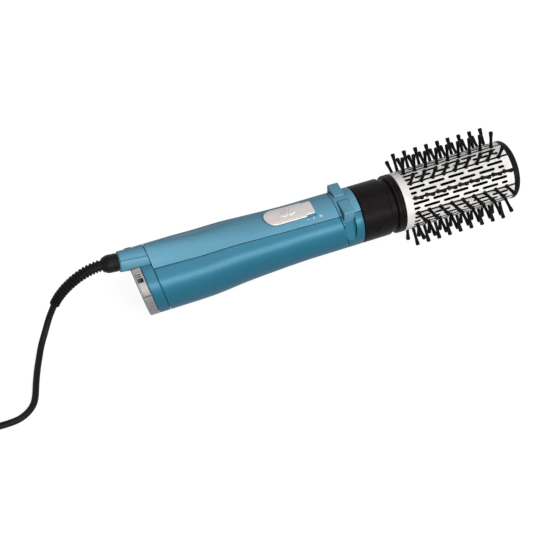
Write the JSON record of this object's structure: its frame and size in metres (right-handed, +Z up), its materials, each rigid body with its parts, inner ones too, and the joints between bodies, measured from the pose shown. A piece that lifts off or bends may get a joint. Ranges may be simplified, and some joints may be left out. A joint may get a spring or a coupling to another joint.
{
  "type": "hot air brush",
  "caption": "Rotating hot air styling brush: slotted round barrel with bristles on a lacquered handle with slide switch, direction buttons, rear air intake and mains cord.",
  "frame": {"origin": "centre of the bottom of the tool's own box, without its cord, where it lies on its back", "axes": "+X along the barrel towards its tip, +Z up, the controls on top; the barrel's axis rises 2 degrees towards the tip"},
  "size_m": [0.4634, 0.1263, 0.0678],
  "materials": {
    "cover_blue": "moulded plastic with a grey-blue metallic lacquer",
    "housing_blue": "moulded plastic with a deeper blue metallic lacquer",
    "black_plastic": "moulded black plastic, satin, fine grain",
    "bristle_nylon": "black nylon",
    "barrel_aluminium": "anodised, silky",
    "silver_lacquer": "silver lacquered plastic",
    "bezel_chrome": "bright plated",
    "steel": "turned, plain",
    "sintered_bronze": "sintered, oiled",
    "mica": "pressed mica board",
    "heating_wire": "oxidised resistance wire",
    "circuit_board": "green solder resist",
    "white_plastic": "heat-resistant moulded plastic",
    "filter_mesh": "fine woven filter gauze",
    "grille_plastic": "moulded dark plastic",
    "cord_rubber": "soft black sheath",
    "pin_nickel": "nickel plated"
  },
  "bodies": {
    "handle": {"upper_cover": "cover_blue", "button_bridge": "cover_blue", "lower_housing": "housing_blue", "front_ring": "housing_blue", "intake_collar": "housing_blue", "cord_cone": "housing_blue", "housing_screw": "steel", "mode_switch": "black_plastic", "control_board": "circuit_board", "right_direction_switch": "black_plastic", "left_direction_switch": "black_plastic", "rear_bush": "sintered_bronze", "gear_motor": "steel", "gear_bracket": "white_plastic", "right_motor_screw": "steel", "left_motor_screw": "steel", "fan_duct": "white_plastic", "fan_motor": "steel", "air_collar": "black_plastic", "nozzle_tube": "steel", "heater_former": "mica", "heater_coil": "heating_wire", "thermal_cutout": "steel", "running_bush": "sintered_bronze", "strain_relief": "cord_rubber", "power_cord": "cord_rubber", "cord_coil": "cord_rubber", "cord_tail": "cord_rubber", "plug_body": "black_plastic", "left_plug_pin": "pin_nickel", "right_plug_pin": "pin_nickel"},
    "brush": {"brush_base_ring": "black_plastic", "brush_barrel": "barrel_aluminium", "brush_end_cap": "black_plastic", "drive_shaft": "steel", "output_gear": "sintered_bronze", "bristle_strip_01": "bristle_nylon", "bristle_strip_02": "bristle_nylon", "bristle_strip_03": "bristle_nylon", "bristle_strip_04": "bristle_nylon", "bristle_strip_05": "bristle_nylon", "bristle_strip_06": "bristle_nylon", "bristle_strip_07": "bristle_nylon", "bristle_strip_08": "bristle_nylon", "bristle_strip_09": "bristle_nylon", "bristle_strip_10": "bristle_nylon", "bristle_strip_11": "bristle_nylon", "bristle_strip_12": "bristle_nylon"},
    "pinion": {"drive_pinion": "steel"},
    "fan": {"fan_impeller": "white_plastic", "fan_shaft": "steel"},
    "mode_knob": {"slide_switch_knob": "silver_lacquer"},
    "left_button": {"left_direction_button": "cover_blue"},
    "right_button": {"right_direction_button": "cover_blue"},
    "intake_cover": {"chrome_bezel": "bezel_chrome", "intake_grille": "grille_plastic", "intake_filter": "filter_mesh"}
  },
  "joints": [
    {"name": "brush_spin", "type": "hinge", "parent": "handle", "child": "brush", "pos_m": [0.05705, 0, 0.03245], "axis": [0.9994, 0, 0.0354], "continuous": true},
    {"name": "pinion_spin", "type": "hinge", "parent": "handle", "child": "pinion", "pos_m": [-0.00361, 0, 0.02177], "axis": [0.9994, 0, 0.0354], "continuous": true},
    {"name": "fan_spin", "type": "hinge", "parent": "handle", "child": "fan", "pos_m": [-0.10779, 0, 0.02501], "axis": [0.9994, 0, 0.0354], "continuous": true},
    {"name": "mode_switch_slide", "type": "slide", "parent": "handle", "child": "mode_knob", "axis": [0.9994, 0, 0.0354], "range_m": [0, 0.009]},
    {"name": "left_button_press", "type": "hinge", "parent": "handle", "child": "left_button", "pos_m": [0.01352, 0.0026, 0.05082], "axis": [0.9994, 0, 0.0354], "range_deg": [-4, 0], "stiffness_Nm_per_rad": 0.15},
    {"name": "right_button_press", "type": "hinge", "parent": "handle", "child": "right_button", "pos_m": [0.01352, -0.0026, 0.05082], "axis": [0.9994, 0, 0.0354], "range_deg": [0, 4], "stiffness_Nm_per_rad": 0.15},
    {"name": "intake_cover_slide", "type": "slide", "parent": "handle", "child": "intake_cover", "axis": [-0.9994, 0, -0.0354], "range_m": [0, 0.02]}
  ],
  "couplings": [
    {"joint": "pinion_spin", "follows": "brush_spin", "ratio": -3}
  ]
}
